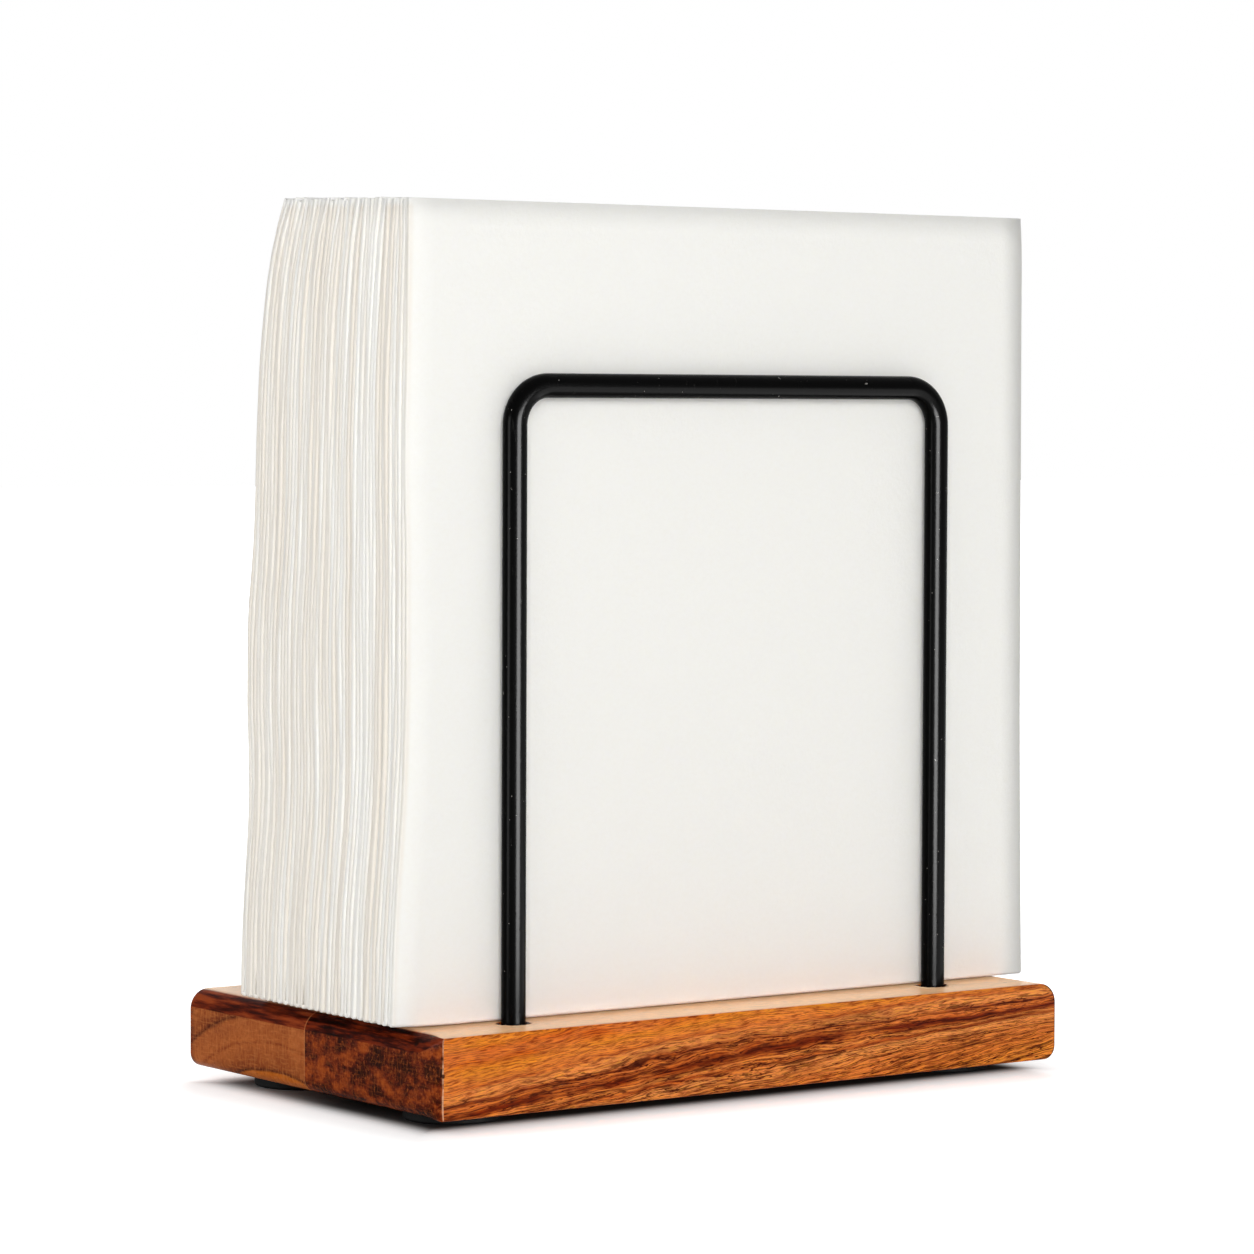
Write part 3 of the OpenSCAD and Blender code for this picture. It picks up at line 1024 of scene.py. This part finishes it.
def place_camera(stage):
    turn, drop, roll = stage.camera_turn, stage.camera_drop, stage.camera_roll
    ahead = Vector((math.sin(turn) * math.cos(drop), math.cos(turn) * math.cos(drop), -math.sin(drop)))
    right = ahead.cross(Vector((0, 0, 1))).normalized()
    up = right.cross(ahead)
    right, up = (
        right * math.cos(roll) + up * math.sin(roll),
        up * math.cos(roll) - right * math.sin(roll),
    )
    camera = add_object("photo_camera", bpy.data.cameras.new("photo_camera"))
    axes = Matrix((right, up, -ahead)).transposed().to_4x4()
    camera.matrix_world = Matrix.Translation(stage.camera_place) @ axes
    camera.data.sensor_width = 36.0
    camera.data.lens = stage.lens
    camera.data.clip_start, camera.data.clip_end = 0.05, 20.0
    bpy.context.scene.camera = camera


def aim_light(name, turn, rise, reach, size, power, glossy):
    """A lamp so many degrees right of the front and above the holder, for glossy or for diffuse rays."""
    turn, rise = math.radians(turn), math.radians(rise)
    away = Vector((math.sin(turn) * math.cos(rise), -math.cos(turn) * math.cos(rise), math.sin(rise)))
    target = Vector((0, 0, 0.09))
    data = bpy.data.lights.new(name, "AREA")
    data.shape, data.size, data.size_y, data.energy = "RECTANGLE", size[0], size[1], power
    light = add_object(name, data)
    light.location = target + away * reach
    light.rotation_euler = (-away).to_track_quat("-Z", "Y").to_euler()
    light.visible_glossy, light.visible_diffuse, light.visible_camera = glossy, not glossy, False
    return light


def pale_floor(stage):
    """A pale floor, with shade under the board painted into its colour, and whiter to the camera away from
    it.
    """
    f = Finish("white_floor")
    low, high = board_box()
    half = (high - low) / 2 / MM
    x, y = f.parts(f.millimetres())[:2]
    past = [
        f.minus(f.math("ABSOLUTE", part), size)
        for part, size in ((x, half.x + stage.shade_ends / MM), (y, half.y))
    ]
    outside = [f.math("POWER", f.math("MAXIMUM", part, 0.0), 2.0) for part in past]
    inside = f.math("MINIMUM", f.math("MAXIMUM", *past), 0.0)
    gap = f.math("ADD", f.math("SQRT", f.math("ADD", *outside)), inside)
    depth, reach = stage.shade_depth / MM, stage.lift_reach / MM
    painted_front_shade, painted_rear_shade, pale = (0.1, 0.1, 0.1), (0.5, 0.5, 0.5), (0.9, 0.9, 0.9)
    shade_edge, near_edge, far_away = 6.0, 9.5, (100.0, 1200.0)
    # Painted shade: the floor's colour is dark under the front of the board, lighter under the rear, and
    # pale beyond it
    shade = f.mix(f.step(y, -5.0, 25.0), painted_front_shade, painted_rear_shade)
    f.put(Base_Color=f.mix(f.step(gap, -depth - 1.0, shade_edge - depth), shade, pale))
    near = f.times(f.step(gap, -depth, near_edge - depth), stage.floor_lift)
    wide = f.times(f.step(gap, -2.0, reach), stage.floor_lift / 2)
    lift = f.math("ADD", f.math("ADD", near, wide), f.step(gap, *far_away))
    f.put(Roughness=0.9, Specular_IOR_Level=0.0, Emission_Color=(1.0, 1.0, 1.0))
    f.put(Emission_Strength=f.times(lift, white_for_camera(f.tree, 0.0)))
    return f.material


class NAPKINHOLDER_OT_stage(bpy.types.Operator):
    """Set the floor, the lights and the camera"""

    bl_idname = "napkinholder.set_stage"
    bl_label = "Set stage"
    bl_options = {"REGISTER", "UNDO"}

    def execute(self, context):
        scene = context.scene
        stage = scene.napkin_holder.stage
        scene.view_settings.view_transform = "Standard"

        world = bpy.data.worlds.new("white_room")
        world.use_nodes = True
        scene.world = world
        background = world.node_tree.nodes["Background"]
        background.inputs["Color"].default_value = (1, 1, 1, 1)
        world.node_tree.links.new(
            white_for_camera(world.node_tree, stage.room_light), background.inputs["Strength"],
        )

        bm = bmesh.new()
        bmesh.ops.create_grid(bm, x_segments=1, y_segments=1, size=6.0)
        floor = link_mesh(bm, "floor")
        floor.data.materials.append(pale_floor(stage))

        table_turn, just_above_floor = 38, 1 * MM
        # Turn and rise in degrees, reach and size in metres, power, and whether only gloss shows it
        places = {
            "front_softbox": (-30, 12, 1.6, (0.8, 0.6), stage.front_light, False),
            "side_softbox": (-104, 38, 1.6, (0.8, 0.6), stage.side_light, False),
            "back_softbox": (140, 30, 1.6, (0.8, 0.6), stage.back_light, False),
            "gloss_softbox": (-7, 0, 0.247, (0.13, 0.178), stage.gloss_light, True),
            "flank_panel": (-104, 0, 0.4, (0.4, 0.3), stage.flank_light, True),
            "table_panel": (table_turn, -9, 0.5, (0.25, 0.7), stage.table_light, True),
        }
        lights = {name: aim_light(name, *place) for name, place in places.items()}
        table = lights["table_panel"]
        table.location.z = just_above_floor
        table.rotation_euler = (math.pi, 0, math.radians(table_turn))
        place_camera(stage)
        return {"FINISHED"}


# Panel


STEPS = (
    NAPKINHOLDER_OT_stage, NAPKINHOLDER_OT_board, NAPKINHOLDER_OT_hoops,
    NAPKINHOLDER_OT_feet, NAPKINHOLDER_OT_napkins,
)


class NAPKINHOLDER_PT_panel(bpy.types.Panel):
    """Sidebar panel of the napkin holder"""

    bl_idname = "NAPKINHOLDER_PT_panel"
    bl_label = "Napkin holder"
    bl_space_type = "VIEW_3D"
    bl_region_type = "UI"
    bl_category = "Napkin holder"

    def draw(self, context):
        settings = context.scene.napkin_holder
        groups = (settings.stage, settings.board, settings.hoops, settings.feet, settings.napkins)
        for step, group in zip(STEPS, groups):
            box = self.layout.box()
            for name in group.__annotations__:
                box.prop(group, name)
            box.operator(step.bl_idname)


CLASSES = (
    NAPKINHOLDER_PG_board, NAPKINHOLDER_PG_hoops, NAPKINHOLDER_PG_feet, NAPKINHOLDER_PG_napkins,
    NAPKINHOLDER_PG_stage, NAPKINHOLDER_PG_settings, *STEPS, NAPKINHOLDER_PT_panel,
)


def register():
    for item in CLASSES:
        bpy.utils.register_class(item)
    bpy.types.Scene.napkin_holder = PointerProperty(type=NAPKINHOLDER_PG_settings)


def unregister():
    del bpy.types.Scene.napkin_holder
    for item in reversed(CLASSES):
        bpy.utils.unregister_class(item)


def main():
    register()
    bpy.ops.napkinholder.set_stage()
    bpy.ops.napkinholder.make_board()
    bpy.ops.napkinholder.make_hoops()
    bpy.ops.napkinholder.make_feet()
    bpy.ops.napkinholder.fold_napkins()
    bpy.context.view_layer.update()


if __name__ == "__main__":
    main()
